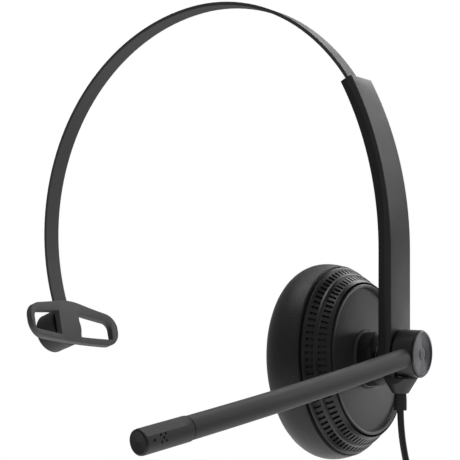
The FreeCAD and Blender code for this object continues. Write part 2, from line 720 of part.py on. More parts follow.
CUSHION_BACK = -7.8
CUSHION_WIDEST = -15.2
CUSHION_FRONT = -24.5
CUSHION_CREST = 23.8
FRONT_ARC = 9.3
EAR_ARC = 7.8
cushion_r = size("cushion_radius")
ear_r = size("ear_radius")
node(turned("ear_cushion", [
    (CUSHION_BACK, ear_r + 2.6), (CUSHION_BACK, cushion_r - 1.7, 16.1),
    (CUSHION_WIDEST, cushion_r, FRONT_ARC), (CUSHION_FRONT, CUSHION_CREST, EAR_ARC),
    (CUSHION_FRONT + EAR_ARC, ear_r, 16.5),
], cup_place), "ear_cushion")
node(turned("cushion_ring", [
    (BAFFLE_BACK - 1, 24), (BAFFLE_BACK - 1, baffle_r - 0.2), (BAFFLE_BACK - 1.25, baffle_r - 0.2),
    (BAFFLE_BACK - 1.25, baffle_r + 1), (CUSHION_BACK, baffle_r + 1), (CUSHION_BACK, 24),
], cup_place), "cushion_ring")

# ball joint: the knuckle and its retainer hold a split bush, and the bush holds the ball
joint_place = Placement(Vector(number("ball_x"), 0, BALL_HEIGHT), Rotation())
BUSH_IN = number("ball_radius") + 0.2
BUSH_OUT = 5.9
SOCKET = 6.1
BUSH_HALF = 2.6


def zone(outer, half_width):
    return math.sqrt(outer * outer - half_width * half_width)


node(turned("ball_bush", [
    (BUSH_HALF, zone(BUSH_OUT, BUSH_HALF), BUSH_OUT), (-BUSH_HALF, zone(BUSH_OUT, BUSH_HALF)),
    (-BUSH_HALF, zone(BUSH_IN, BUSH_HALF), -BUSH_IN), (BUSH_HALF, zone(BUSH_IN, BUSH_HALF)),
], joint_place), "ball_bush")
SOCKET_MOUTH = 3.2
SOCKET_SEAM = -1.2
node(turned("knuckle", [
    (SOCKET_MOUTH, zone(SOCKET, SOCKET_MOUTH)), (SOCKET_MOUTH, size("knuckle_radius") - 1.2),
    (SOCKET_MOUTH - 0.9, size("knuckle_radius")), (-2.1, size("knuckle_radius")),
    (-2.1, 6.9), (SOCKET_SEAM, 6.9), (SOCKET_SEAM, zone(SOCKET, SOCKET_SEAM), -SOCKET),
], joint_place.multiply(Placement(Vector(), Rotation(Vector(0, 1, 0), -number("cup_tilt"))))),
     "knuckle")
node(turned("socket_retainer", [
    (SOCKET_SEAM - 0.03, zone(SOCKET, SOCKET_SEAM - 0.03), SOCKET),
    (-4.6, zone(SOCKET, 4.6)), (-6.4, 3.6), (-6.4, 5.0), (-4.6, 6.85),
    (SOCKET_SEAM - 0.03, 6.85),
], joint_place.multiply(Placement(Vector(), Rotation(Vector(0, 1, 0), -number("cup_tilt"))))),
     "socket_retainer")

# ---------------------------------------------------------------- lead

relief_place = Placement(Vector(number("gland_x"), 0, number("relief_end")),
                         Rotation(Vector(0, 1, 0), -90))
relief_insert = RELIEF_TOP - number("relief_end") - 0.05
relief_free = number("gland_z") - number("relief_end") - 0.05
node(turned("strain_relief", [
    (0, 0), (0, size("relief_radius") - 0.25), (relief_free - 0.6, size("relief_radius")),
    (relief_free, size("relief_radius")), (relief_free, size("relief_radius") - 0.35),
    (relief_insert, size("relief_radius") - 0.35), (relief_insert, 0),
], relief_place), "strain_relief")

# the lead hangs from the gland to its tied coil, and from the coil to its plug
CORD_ROUTE = [
    (77.4, 0, -16.3), (77.6, 0, -22.5), (78.7, 0.3, -30.5), (80.6, 1.2, -38.5),
    (82.2, 2.3, -46.5), (82.5, 2.5, -51.5),
]
TAIL_ROUTE = [
    (82.5, -10.5, -61), (82.6, -10.1, -67.5), (83.2, -8.4, -75.5), (83.5, -7.2, -83), (83.5, -7, -88),
]
COIL_CENTRE = Vector(82.5, 2.5, -61)


def cord_wire(points):
    """Straight runs joined by tangent arcs as large as the shorter run beside each allows."""
    edges = []
    bends = []
    reached = points[0]
    for before, corner, after in zip(points, points[1:], points[2:]):
        back = before - corner
        ahead = after - corner
        turn = math.pi - back.getAngle(ahead)
        trim = 0.45 * min(back.Length, ahead.Length)
        bend = trim / math.tan(turn / 2)
        first = corner + back.normalize() * trim
        last = corner + ahead.normalize() * trim
        inside = ((first + last) * 0.5 - corner).normalize()
        middle = corner + inside * bend * (1 / math.cos(turn / 2) - 1)
        edges.append(Part.LineSegment(reached, first).toShape())
        edges.append(Part.Arc(first, middle, last).toShape())
        bends.append(bend)
        reached = last
    edges.append(Part.LineSegment(reached, points[-1]).toShape())
    print("cord bend radii:", ", ".join(f"{bend:.0f}" for bend in bends))
    return Part.Wire(edges)


def cord_tube(route):
    wire = cord_wire([Vector(*point) for point in route])
    start = wire.Edges[0]
    radius = number("cord_diameter") / 2
    circle = Part.Circle(Vector(*route[0]), start.tangentAt(start.FirstParameter), radius)
    tube_shape = wire.makePipeShell([Part.Wire([circle.toShape()])], True, False, 1)
    expected = math.pi * radius ** 2 * wire.Length
    print(f"cord tube: {wire.Length:.1f} mm, volume {tube_shape.Volume:.1f} of {expected:.1f}")
    return tube_shape


node(shaped("cord", cord_tube(CORD_ROUTE)), "cord")
node(shaped("cord_tail", cord_tube(TAIL_ROUTE)), "cord_tail")
coil = doc.addObject("Part::Torus", "coil_ring")
bind(coil, Radius1=size("coil_radius"), Radius2=size("coil_thick"))
coil.Placement = Placement(COIL_CENTRE, Rotation(Vector(0, 1, 0), 90))
node(coil, "cord_coil")

TIE_ANGLE = 34
tie_start = Vector(0, number("coil_radius"), 0)
tie_faces = []
for reach in (number("coil_thick") + 0.9, number("coil_thick") + 0.05):
    rim = Part.Circle(tie_start, Vector(0, 0, 1), reach).toShape()
    tie_faces.append(Part.Face(Part.Wire([rim])))
tie_solids = [face.revolve(Vector(), Vector(1, 0, 0), TIE_ANGLE) for face in tie_faces]
tie = shaped("tie_strap", tie_solids[0].cut(tie_solids[1]))
tie.Placement = Placement(COIL_CENTRE, Rotation(Vector(1, 0, 0), -TIE_ANGLE / 2))
node(tie, "cord_tie")

plug_place = Placement(Vector(*TAIL_ROUTE[-1]), Rotation(Vector(0, 1, 0), 90))
BOOT = 8
GRIP_END = BOOT + size("grip_length")
node(turned("plug_boot", [
    (0, 0), (0, 1.7), (BOOT, 2.4), (BOOT, 0),
], plug_place), "plug_boot")
grip_r = size("grip_radius")
node(turned("plug_grip", [
    (BOOT, 0), (BOOT, grip_r - 0.8), (BOOT + 0.9, grip_r), (size("grip_length") + BOOT - 0.7, grip_r),
    (size("grip_length") + BOOT, grip_r - 0.7), (size("grip_length") + BOOT, 0),
], plug_place), "plug_grip")
jack_r = size("jack_radius")
jack_from = size("grip_length") + BOOT
jack_to = jack_from + size("jack_length")
node(turned("jack_shaft", [
    (jack_from, 0), (jack_from, 2.6), (jack_from + 0.8, 2.6), (jack_from + 0.8, jack_r),
    (jack_to + 0.8, jack_r), (jack_to + 1.3, jack_r - 0.45), (jack_to + 2.2, jack_r - 0.05),
    (jack_to + 3.8, 0.3), (jack_to + 3.8, 0),
], plug_place), "jack_shaft")

# ---------------------------------------------------------------- check and write

doc.recompute()
faults = [item.Name for item in doc.Objects
          if "Invalid" in item.State or "Error" in item.State]
for item in NODES:
    shape = item.Shape
    if shape.isNull() or not shape.isValid() or shape.Volume <= 0:
        faults.append(item.Label)
if faults:
    raise RuntimeError("not built: " + ", ".join(faults))
os.makedirs("parts", exist_ok=True)
for item in NODES:
    item.Shape.exportStep(os.path.join("parts", f"{item.Label}.step"))
    print(f"{item.Label}: {item.Shape.Volume:.1f} mm3, {len(item.Shape.Solids)} solid")
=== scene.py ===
"""A mono office headset: its lead, head band, temple bar, slider arm, boom and ear cup.

Metres, +Z up.  X runs from the temple bar to the ear cup, and the boom points along -Y.
"""
import json
import math
import bmesh
import bpy
from mathutils import Matrix, Vector


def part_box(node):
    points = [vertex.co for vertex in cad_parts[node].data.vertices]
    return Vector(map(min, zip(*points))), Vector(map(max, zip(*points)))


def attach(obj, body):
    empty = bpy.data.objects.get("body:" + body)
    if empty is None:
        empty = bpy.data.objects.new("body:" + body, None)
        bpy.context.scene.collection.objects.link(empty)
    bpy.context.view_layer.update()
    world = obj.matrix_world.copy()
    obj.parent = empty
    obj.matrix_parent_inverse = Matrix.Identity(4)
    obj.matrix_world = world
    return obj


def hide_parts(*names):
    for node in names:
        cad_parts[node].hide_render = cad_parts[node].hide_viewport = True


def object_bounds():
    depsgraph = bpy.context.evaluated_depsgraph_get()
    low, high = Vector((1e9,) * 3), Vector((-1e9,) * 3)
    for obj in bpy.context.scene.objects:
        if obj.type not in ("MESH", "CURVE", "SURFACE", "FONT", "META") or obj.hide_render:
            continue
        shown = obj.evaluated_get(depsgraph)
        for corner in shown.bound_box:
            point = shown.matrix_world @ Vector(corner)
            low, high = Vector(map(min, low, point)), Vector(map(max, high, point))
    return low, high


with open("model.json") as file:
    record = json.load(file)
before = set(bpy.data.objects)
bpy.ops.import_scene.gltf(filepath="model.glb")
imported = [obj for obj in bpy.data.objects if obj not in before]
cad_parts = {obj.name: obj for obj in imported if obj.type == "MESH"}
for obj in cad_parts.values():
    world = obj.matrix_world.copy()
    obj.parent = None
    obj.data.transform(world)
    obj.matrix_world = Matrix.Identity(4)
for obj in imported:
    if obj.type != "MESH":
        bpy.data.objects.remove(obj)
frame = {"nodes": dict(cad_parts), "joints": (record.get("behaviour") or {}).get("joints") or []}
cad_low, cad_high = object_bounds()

nodes = frame["nodes"]
joints = {joint["name"]: joint for joint in frame["joints"]}
MM = 0.001

# ---------------------------------------------------------------- camera
# A long lens a little below the band's middle, level with the ear cup, so the band reads as a
# nearly round arch and the boom comes forward.

AZIMUTH = math.radians(34.78)
ELEVATION = math.radians(-2.14)
ROLL = math.radians(0.311)
CAMERA_DISTANCE = 430.4 * MM
CAMERA_TARGET = Vector((8.37, 0, 44.46)) * MM
LENS = 91.96

back = Vector((math.sin(AZIMUTH) * math.cos(ELEVATION), -math.cos(AZIMUTH) * math.cos(ELEVATION),
               math.sin(ELEVATION)))
level_right = back.cross(Vector((0, 0, -1))).normalized()
level_up = back.cross(level_right)
camera_right = math.cos(ROLL) * level_right + math.sin(ROLL) * level_up
camera_up = back.cross(camera_right)
camera_turn = Matrix((camera_right, camera_up, back)).transposed().to_4x4()
camera_data = bpy.data.cameras.new("camera")
camera_data.lens = LENS
camera_data.sensor_width = 36
camera_data.clip_start = 0.01
camera = bpy.data.objects.new("camera", camera_data)
camera.matrix_world = Matrix.Translation(CAMERA_TARGET + back * CAMERA_DISTANCE) @ camera_turn
scene = bpy.context.scene
scene.collection.objects.link(camera)
scene.camera = camera
scene.view_settings.view_transform = "Standard"

# ---------------------------------------------------------------- lead
# 1.2 m of thin two-core lead in a soft vinyl jacket.  It hangs from the foot of the arm, and the
# length that isn't in use is wound into one neat coil held by a hook and loop tie.

LEAD_DIAMETER = 2.2 * MM
GLAND = (77.4, 0, -16.3)
HANGING = [
    GLAND, (77.6, 0, -22.5), (78.7, 0.3, -30.5), (80.4, 0.9, -38.2),
]
TAIL = [
    (88.2, -8.9, -66.5), (88.4, -9.6, -71.5), (86.6, -9.4, -77.5), (84, -7.6, -81.5),
    (83.5, -7, -84.5), (83.5, -7, -88),
]
COIL_CENTRE = Vector((82.5, 2.5, -61))
COIL_RADIUS = 13.4
PITCH = 2.3
ROW = PITCH * math.sqrt(3) / 2
POINTS_A_TURN = 16
FIRST_ANGLE = 105
LAST_ANGLE = 178
SHIFT_ANGLE = 55

# where each turn lies in the bundle: outwards and sideways of its middle, as stacked round rods lie
turn_seats = []
for row, count in ((2, 2), (1, 3), (0, 4), (-1, 3), (-2, 2)):
    seats = [(row * ROW, (index - (count - 1) / 2) * PITCH) for index in range(count)]
    turn_seats += seats if row % 2 == 0 else reversed(seats)
turn_seats.append((-1 * ROW, 2.1 * PITCH))

route = [Vector(point) for point in HANGING]
turns = len(turn_seats) - 2 + (LAST_ANGLE - FIRST_ANGLE) / 360
for step in range(int(turns * POINTS_A_TURN) + 1):
    angle = FIRST_ANGLE + 360 * step / POINTS_A_TURN
    turn, into_turn = divmod(angle - FIRST_ANGLE, 360)
    turn = int(turn)
    shift_from = 280 - 18 * turn if turn < len(turn_seats) - 2 else 10
    share = min(max((into_turn - shift_from) / SHIFT_ANGLE, 0), 1)
    share = share * share * (3 - 2 * share)
    outwards = (1 - share) * turn_seats[turn][0] + share * turn_seats[turn + 1][0]
    sideways = (1 - share) * turn_seats[turn][1] + share * turn_seats[turn + 1][1]
    reach = (COIL_RADIUS + outwards) / math.cos(math.pi / POINTS_A_TURN) ** 0.8
    route.append(COIL_CENTRE + Vector((sideways, reach * math.cos(math.radians(angle)),
                                       reach * math.sin(math.radians(angle)))))
route += [Vector(point) for point in TAIL]

lead_curve = bpy.data.curves.new("lead", "CURVE")
lead_curve.dimensions = "3D"
lead_curve.bevel_depth = 1
lead_curve.bevel_resolution = 4
lead_curve.use_fill_caps = True
spline = lead_curve.splines.new("NURBS")
spline.points.add(len(route) - 1)
for point, place in zip(spline.points, route):
    point.co = (*place * MM, 1)
    point.radius = LEAD_DIAMETER / 2
spline.order_u = 3
spline.use_endpoint_u = True
spline.resolution_u = 5
lead = bpy.data.objects.new("lead", lead_curve)
scene.collection.objects.link(lead)
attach(lead, "arm")
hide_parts("cord", "cord_tail", "cord_coil")


def linear(shade):
    """An sRGB hex colour, such as "#2a2a2c", as the linear colour that a socket takes."""
    channels = [int(shade[index:index + 2], 16) / 255 for index in (1, 3, 5)]
    return (*[value / 12.92 if value <= 0.04045 else ((value + 0.055) / 1.055) ** 2.4
              for value in channels], 1)


def new_finish(name):
    """An empty material and its node tree."""
    material = bpy.data.materials.new(name)
    material.use_nodes = True
    material.node_tree.nodes.clear()
    return material, material.node_tree


def add(tree, kind, inputs=None, **settings):
    """One node, with its settings, and its inputs set or linked."""
    item = tree.nodes.new(f"ShaderNode{kind}")
    for name, value in settings.items():
        setattr(item, name, value)
    for name, value in (inputs or {}).items():
        if isinstance(value, bpy.types.NodeSocket):
            tree.links.new(value, item.inputs[name])
        else:
            item.inputs[name].default_value = value
    return item


def moulded(name, dark, light, grain, depth, roughness, patch=9):
    """A moulded or drawn surface: its grain and cloudy patches, both in millimetres."""
    material, tree = new_finish(name)
    place = add(tree, "TexCoord").outputs["Object"]
    cloud = add(tree, "TexNoise", {"Vector": place, "Scale": 1 / (patch * MM), "Detail": 4,
                                   "Roughness": 0.55})
    grains = add(tree, "TexNoise", {"Vector": place, "Scale": 1 / (grain * MM), "Detail": 2,
                                    "Roughness": 0.6})
    tone = add(tree, "MapRange", {"Value": cloud.outputs["Fac"], "From Min": 0.3, "From Max": 0.7})
    skin = add(tree, "Mix", {"Factor": tone.outputs["Result"], 6: linear(dark), 7: linear(light)},
               data_type="RGBA")
    gloss = add(tree, "MapRange", {"Value": cloud.outputs["Fac"], "From Min": 0.3, "From Max": 0.7,
                                   "To Min": roughness - 0.06, "To Max": roughness + 0.06})
    relief = add(tree, "Bump", {"Height": grains.outputs["Fac"], "Distance": depth * MM,
                                "Strength": 0.8})
    shader = add(tree, "BsdfPrincipled", {
        "Base Color": skin.outputs[2], "Roughness": gloss.outputs["Result"], "IOR": 1.5,
        "Normal": relief.outputs["Normal"]})
    add(tree, "OutputMaterial", {"Surface": shader.outputs["BSDF"]})
    return material


def paint(piece, material):
    """Gives a piece one finish all over."""
    piece.data.materials.clear()
    piece.data.materials.append(material)


# extruded PVC: smooth and satin, with a faint waviness left by the die
lead_jacket = moulded("extruded_black_pvc", "#161617", "#1e1e20", 1.6, 0.05, 0.42)
paint(lead, lead_jacket)


def finished(name, shape, body, material, replaced=(), crisp=35):
    """Makes a piece from its bmesh: smooth, with its sharp edges kept sharp."""
    mesh = bpy.data.meshes.new(name)
    shape.to_mesh(mesh)
    shape.free()
    mesh.shade_smooth()
    mesh.set_sharp_from_angle(angle=math.radians(crisp))
    piece = bpy.data.objects.new(name, mesh)
    scene.collection.objects.link(piece)
    paint(piece, material)
    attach(piece, body)
    if replaced:
        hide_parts(*replaced)
    return piece


def spun(profile, steps=64, closed=True):
    """A turned shape: (along, radius) corners in millimetres, spun round the X axis."""
    shape = bmesh.new()
    corners = [shape.verts.new((along * MM, 0, radius * MM)) for along, radius in profile]
    edges = [shape.edges.new(pair) for pair in zip(corners, corners[1:])]
    if closed:
        edges.append(shape.edges.new((corners[-1], corners[0])))
    bmesh.ops.spin(shape, geom=corners + edges, axis=(1, 0, 0), cent=(0, 0, 0),
                   angle=2 * math.pi, steps=steps, use_merge=True)
    bmesh.ops.remove_doubles(shape, verts=shape.verts, dist=1e-7)
    bmesh.ops.dissolve_degenerate(shape, edges=shape.edges, dist=1e-8)
    bmesh.ops.recalc_face_normals(shape, faces=shape.faces)
    return shape


def ringed(start, end, first_radius, last_radius, count, groove):
    """The outline of a tapered boot with ring grooves cut round it."""
    outline = [(start, 0)]
    pitch = (end - start) / count
    for index in range(count):
        low = start + index * pitch
        for along, cut in ((0, 0), (0.6, 0), (0.68, groove), (0.92, groove)):
            way = (low + along * pitch - start) / (end - start)
            radius = first_radius + (last_radius - first_radius) * way - cut
            outline.append((low + along * pitch, radius))
    outline += [(end, last_radius), (end, 0)]
    return outline


DOWN = Matrix.Rotation(math.radians(90), 4, "Y")

# the strain relief is a short soft sleeve pushed into the gland, plain and slightly tapered
# soft vinyl: dull and slightly grey
boot_rubber = moulded("soft_vinyl", "#1a1a1b", "#232325", 0.5, 0.03, 0.62)
relief = spun([(0, 0), (0, 1.45), (0.25, 1.7), (0.9, 1.75), (5.6, 2.1), (9.2, 2.1), (9.2, 0)], 40)
relief.transform(Matrix.Translation((GLAND[0] * MM, 0, (GLAND[2] + 9.2) * MM)) @ DOWN)
relief = finished("strain_relief_sleeve", relief, "arm", boot_rubber,
                  ["strain_relief"])

# the plug: a ringed boot, a ribbed grip, and the plated four-pole pin with its black spacers
plug_top = Matrix.Translation(Vector(TAIL[-1]) * MM) @ DOWN
boot = spun(ringed(0, 8, 1.65, 2.4, 6, 0.3), 32)
boot.transform(plug_top)
boot = finished("plug_boot_sleeve", boot, "arm", boot_rubber, ["plug_boot"])

GRIP_START = 8
GRIP_LENGTH = 16
GRIP_RADIUS = 3.6
RIBS = 24
grip = spun([
    (GRIP_START, 0), (GRIP_START, 2.7), (GRIP_START + 0.3, 3.1), (GRIP_START + 1, GRIP_RADIUS),
    (GRIP_START + 2.5, GRIP_RADIUS), (GRIP_START + 12.5, GRIP_RADIUS),
    (GRIP_START + GRIP_LENGTH - 0.7, GRIP_RADIUS), (GRIP_START + GRIP_LENGTH - 0.2, 3.2),
    (GRIP_START + GRIP_LENGTH, 2.9), (GRIP_START + GRIP_LENGTH, 0),
], 2 * RIBS)
flutes = []
for face in grip.faces:
    middle = face.calc_center_median()
    around = math.degrees(math.atan2(middle.z, middle.y)) % (360 / RIBS)
    ribbed = GRIP_START + 2.5 < middle.x / MM < GRIP_START + 12.5
    if ribbed and around < 180 / RIBS and middle.yz.length > 3 * MM:
        flutes.append(face)
bmesh.ops.inset_individual(grip, faces=flutes, thickness=0.06 * MM, depth=-0.25 * MM)
grip.transform(plug_top)
grip = finished("plug_grip_body", grip, "arm", boot_rubber, ["plug_grip"])

# nickel over brass: a warm bright metal
jack_plate = moulded("nickel_plated_brass", "#b9b4a6", "#c8c3b6", 2, 0.01, 0.22)
jack_plate.node_tree.nodes["Principled BSDF"].inputs["Metallic"].default_value = 1
JACK_START = GRIP_START + GRIP_LENGTH
JACK_RADIUS = 1.75
pin_rings = [(JACK_START, 0), (JACK_START, 2.6), (JACK_START + 0.8, 2.6),
             (JACK_START + 0.8, JACK_RADIUS)]
spacers = []
for along in (3.2, 6.2, 9.2):
    pin_rings += [(JACK_START + along, JACK_RADIUS), (JACK_START + along + 0.1, JACK_RADIUS - 0.12),
                  (JACK_START + along + 0.7, JACK_RADIUS - 0.12),
                  (JACK_START + along + 0.8, JACK_RADIUS)]
    spacers.append(JACK_START + along + 0.4)
pin_rings += [(JACK_START + 11.8, JACK_RADIUS), (JACK_START + 12.3, 1.3), (JACK_START + 13.2, 1.7),
              (JACK_START + 14.6, 0.5), (JACK_START + 14.8, 0)]
pin = spun(pin_rings, 32)
for face in pin.faces:
    along = face.calc_center_median().x / MM
    if any(abs(along - spacer) < 0.36 for spacer in spacers):
        face.material_index = 1
pin.transform(plug_top)
pin = finished("jack_pin", pin, "arm", jack_plate, ["jack_shaft"])
pin.data.materials.append(boot_rubber)

# the tie is a woven strap wrapped once round the coil, its end lapped over
TIE_ANGLE = 32
TIE_REACH = (5.35, 5.0)
# hook and loop tape: dark loops with a light fuzz between them
woven, tree = new_finish("woven_hook_and_loop")
place = add(tree, "TexCoord").outputs["Object"]
loops = add(tree, "TexVoronoi", {"Vector": place, "Scale": 1 / (0.55 * MM)})
fuzz = add(tree, "TexNoise", {"Vector": place, "Scale": 1 / (0.25 * MM), "Detail": 3})
tone = add(tree, "Mix", {"Factor": loops.outputs["Distance"], 6: linear("#2b2b2d"),
                         7: linear("#121213")}, data_type="RGBA")
height = add(tree, "Math", {0: loops.outputs["Distance"], 1: fuzz.outputs["Fac"]},
             operation="ADD")
relief_bump = add(tree, "Bump", {"Height": height.outputs["Value"], "Distance": 0.2 * MM})
shader = add(tree, "BsdfPrincipled", {"Base Color": tone.outputs[2], "Roughness": 0.9,
                                      "Normal": relief_bump.outputs["Normal"],
                                      "Sheen Weight": 0.3, "Sheen Roughness": 0.5})
add(tree, "OutputMaterial", {"Surface": shader.outputs["BSDF"]})
tie = bmesh.new()
ring = bmesh.ops.create_circle(tie, segments=40, radius=1)["verts"]
bmesh.ops.transform(tie, verts=ring, matrix=Matrix.Translation((0, COIL_RADIUS * MM, 0))
                    @ Matrix.Rotation(math.radians(90), 4, "Z")
                    @ Matrix.Diagonal((TIE_REACH[0] * MM, TIE_REACH[1] * MM, 1, 1)))
bmesh.ops.rotate(tie, verts=tie.verts, cent=(0, 0, 0),
                 matrix=Matrix.Rotation(math.radians(-TIE_ANGLE / 2), 3, "X"))
bmesh.ops.spin(tie, geom=tie.verts[:] + tie.edges[:], axis=(1, 0, 0), cent=(0, 0, 0),
               angle=math.radians(TIE_ANGLE), steps=8)
bmesh.ops.recalc_face_normals(tie, faces=tie.faces)
bmesh.ops.solidify(tie, geom=tie.faces[:], thickness=-0.7 * MM)
bmesh.ops.recalc_face_normals(tie, faces=tie.faces)
tie.transform(Matrix.Translation(COIL_CENTRE * MM))
tie = finished("coil_tie", tie, "arm", woven, ["cord_tie"])

# ---------------------------------------------------------------- light and floor
# A white table under a white sweep, in a room that is otherwise dim.  The table throws its light up
# under every piece; soft lamps stand above and behind on the right.

world = bpy.data.worlds.new("dim_room")
scene.world = world
world.use_nodes = True
world.node_tree.nodes["Background"].inputs["Color"].default_value = (1, 1, 1, 1)
world.node_tree.nodes["Background"].inputs["Strength"].default_value = 0.24

TABLE_SIZE = 0.35
TABLE_GAP = 45 * MM
SWEEP_RADIUS = 8
LAMPS_LOOK_AT = Vector((0.02, 0, 0.03))


def glowing(name):
    """Lit paper, as an even white surface."""
    material, tree = new_finish(name)
    shader = add(tree, "Emission", {"Color": linear("#ffffff"), "Strength": 1})
    add(tree, "OutputMaterial", {"Surface": shader.outputs["Emission"]})
    return material


table_shape = bmesh.new()
bmesh.ops.create_circle(table_shape, cap_ends=True, segments=48, radius=TABLE_SIZE)
table_shape.transform(Matrix.Translation((0, 0, cad_low.z - TABLE_GAP)))
sweep_shape = bmesh.new()
bmesh.ops.create_icosphere(sweep_shape, subdivisions=4, radius=SWEEP_RADIUS)
lit_white = glowing("lit_white_paper")
for name, shape in (("table", table_shape), ("sweep", sweep_shape)):
    mesh = bpy.data.meshes.new(name)
    shape.to_mesh(mesh)
    shape.free()
    backdrop = bpy.data.objects.new(name, mesh)
    scene.collection.objects.link(backdrop)
    paint(backdrop, lit_white)
backdrop.visible_diffuse = False
backdrop.visible_glossy = False
backdrop.visible_transmission = False
backdrop.visible_shadow = False

for name, place, size, power in (
    ("lamp_back_right", (0.7, 0.8, 0.5), 0.7, 2.2),
    ("lamp_back_top", (-0.05, 0.95, 0.65), 0.6, 2.4),
    ("lamp_top", (-0.1, 0.1, 1.0), 0.7, 4),
    ("lamp_behind_arm", (0.15, 0.26, -0.01), 0.1, 0.045),
):
    lamp_data = bpy.data.lights.new(name, "AREA")
    lamp_data.shape = "DISK"
    lamp_data.size = size
    lamp_data.energy = power
    lamp = bpy.data.objects.new(name, lamp_data)
    lamp.visible_camera = False
    lamp.location = place
    towards = LAMPS_LOOK_AT - Vector(place)
    lamp.rotation_euler = towards.to_track_quat("-Z", "Y").to_euler()
    scene.collection.objects.link(lamp)

# ---------------------------------------------------------------- head band
# A cold rolled steel strip in a thin moulded skin of matte soft-touch plastic.  Its right end
# slides in the arm, its left end is held in the housing behind the temple bar.

# soft-touch coat: no shine and a soft even grey; its grain is too fine to see, so it is left
# as a faint waviness
band_coat = moulded("soft_touch_coated_nylon", "#3c3c3e", "#424244", 1.4, 0.004, 0.5, patch=14)
paint(nodes["band_sleeve"], band_coat)

# rolled steel: bright, with the fine haze that the rolls leave
steel = moulded("cold_rolled_steel", "#8d8e90", "#a2a3a5", 0.4, 0.01, 0.3)
steel.node_tree.nodes["Principled BSDF"].inputs["Metallic"].default_value = 1
for name in ("band_spring", "band_stop", "detent_springs", "hub_washer", "pivot_washer"):
    paint(nodes[name], steel)

# ---------------------------------------------------------------- temple bar and its housing
# The bar is a loop frame moulded in the band's plastic, bent to the temple.  It turns on a pin in
# a black housing closed by a domed cap.

# black ABS with a spark-eroded grain: slightly coarser than the band's, and darker
black_abs = moulded("black_abs", "#121213", "#19191b", 0.6, 0.02, 0.48)
paint(nodes["pivot_cap"], black_abs)
paint(nodes["pivot_housing"], black_abs)

SHARP = math.radians(28)


def eased(node, name, width, material, body):
    """A CAD node's own shape with its sharp edges rounded, as a mould leaves them."""
    shape = bmesh.new()
    shape.from_mesh(nodes[node].data)
    bmesh.ops.remove_doubles(shape, verts=shape.verts, dist=1e-6)
    bmesh.ops.dissolve_limit(shape, angle_limit=math.radians(0.5), verts=shape.verts,
                             edges=shape.edges)
    corners = [edge for edge in shape.edges
               if len(edge.link_faces) == 2 and edge.calc_face_angle(0) > SHARP]
    bmesh.ops.bevel(shape, geom=corners, offset=width * MM, offset_type="OFFSET",
                    affect="EDGES", segments=3, profile=0.5, material=-1,
                    clamp_overlap=True)
    return finished(name, shape, body, material, [node], crisp=32)


# glass-filled nylon: matte, with a grain that breaks up the light
bar_plastic = moulded("matte_grey_nylon", "#404042", "#474749", 0.5, 0.025, 0.52, patch=11)
eased("tbar_frame", "temple_loop", 0.45, bar_plastic, "temple_bar")

# black oxide: a dark steel sheen
black_screw = moulded("black_oxide_steel", "#3a3a3c", "#48484a", 0.3, 0.01, 0.35)
black_screw.node_tree.nodes["Principled BSDF"].inputs["Metallic"].default_value = 1
for name in ("pivot_screw", "hub_screw", "arm_screws", "cup_screws"):
    paint(nodes[name], black_screw)

# ---------------------------------------------------------------- slider arm
# Two moulded halves screwed together from the inside.  The inner one is black and carries the
# band's channel, the outer one is satin and ends in the boom's hub and the lead's gland.

# satin ABS: finely grained, so that light spreads into a soft band along the arm
arm_plastic = moulded("satin_black_abs", "#29292b", "#303032", 0.4, 0.02, 0.4, patch=16)
eased("arm_shell", "arm_outer_shell", 0.7, arm_plastic, "arm")
paint(nodes["arm_cover"], black_abs)
paint(nodes["ball_stud"], black_abs)
paint(nodes["hub_post"], black_abs)

# ---------------------------------------------------------------- boom hub
# A barrel that turns on the arm's post, closed by a pressed aluminium disc with a spun face.

hub_spot = Vector(joints["boom_turn"]["pos_m"])
paint(nodes["boom_collar"], arm_plastic)

# spun aluminium, anodised dark: fine turning rings draw the light out into two bright wedges
spun_disc, tree = new_finish("spun_anodised_aluminium")
place = add(tree, "TexCoord").outputs["Object"]
centred = add(tree, "Mapping", {"Vector": place, "Location": (0, 0, -hub_spot.z)})
flattened = add(tree, "VectorMath", {0: centred.outputs["Vector"], 1: (0, 1, 1)},
                operation="MULTIPLY")
reach = add(tree, "VectorMath", {0: flattened.outputs["Vector"]}, operation="LENGTH")
# the real rings are 0.05 mm apart, drawn at 0.4 mm so that they show
rings = add(tree, "Math", {0: reach.outputs["Value"], 1: 2 * math.pi / (0.4 * MM)},
            operation="MULTIPLY")
wave = add(tree, "Math", {0: rings.outputs["Value"]}, operation="SINE")
relief_bump = add(tree, "Bump", {"Height": wave.outputs["Value"], "Distance": 0.012 * MM})
around = add(tree, "Tangent", direction_type="RADIAL", axis="X")
shader = add(tree, "BsdfPrincipled", {
    "Base Color": linear("#5c5c5f"), "Metallic": 1, "Roughness": 0.34, "Anisotropic": 0.85,
    "Anisotropic Rotation": 0.25,
    "Normal": relief_bump.outputs["Normal"], "Tangent": around.outputs["Tangent"]})
add(tree, "OutputMaterial", {"Surface": shader.outputs["BSDF"]})

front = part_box("hub_cap")[1].x / MM
disc = spun([
    (front - 1.2, 0), (front - 1.2, 6.9), (front - 0.7, 6.9), (front - 0.7, 7.4),
    (front - 0.25, 7.5), (front - 0.05, 7.3), (front, 7.1), (front - 0.02, 6.8),
    (front - 0.3, 6.5), (front - 0.34, 6.25), (front - 0.3, 2.4), (front - 0.36, 2.25),
    (front - 0.3, 2.1), (front - 0.28, 0.6), (front - 0.34, 0),
], 96)
disc.transform(Matrix.Translation((0, hub_spot.y, hub_spot.z)))
finished("hub_disc", disc, "boom", spun_disc, ["hub_cap"], crisp=30)

# ---------------------------------------------------------------- boom and microphone
# A thin moulded tube, bent gently inwards.  The microphone's housing has sound slots on top, a
# group of small ports outside and a black cap on its end.

